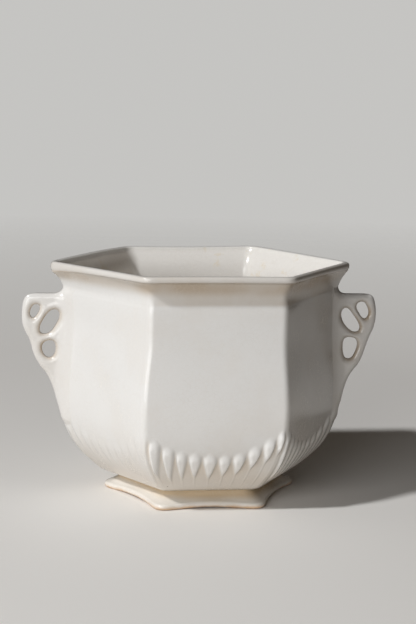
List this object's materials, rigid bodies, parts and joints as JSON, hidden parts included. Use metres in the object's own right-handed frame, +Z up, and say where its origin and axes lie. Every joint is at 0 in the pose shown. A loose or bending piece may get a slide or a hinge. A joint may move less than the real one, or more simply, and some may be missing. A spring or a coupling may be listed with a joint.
{
  "type": "vase",
  "caption": "Footed hexagonal ironstone vase with panelled sides, fluted base, flared rim and pierced side handles",
  "frame": {"origin": "on the table under the centre of the bowl, in the plane of the six foot lobes", "axes": "+X towards the right-hand handle, +Y away from the viewer, +Z up"},
  "size_m": [0.1926, 0.1288, 0.1242],
  "materials": {
    "ironstone_glaze": "glossy warm white glaze, finely crazed, faint tan staining",
    "foot_glaze": "glossy warm white glaze worn and stained cream on the edge that meets the table"
  },
  "bodies": {
    "root": {"bowl": "ironstone_glaze", "foot": "foot_glaze", "handle_left": "ironstone_glaze", "handle_right": "ironstone_glaze"}
  },
  "joints": []
}
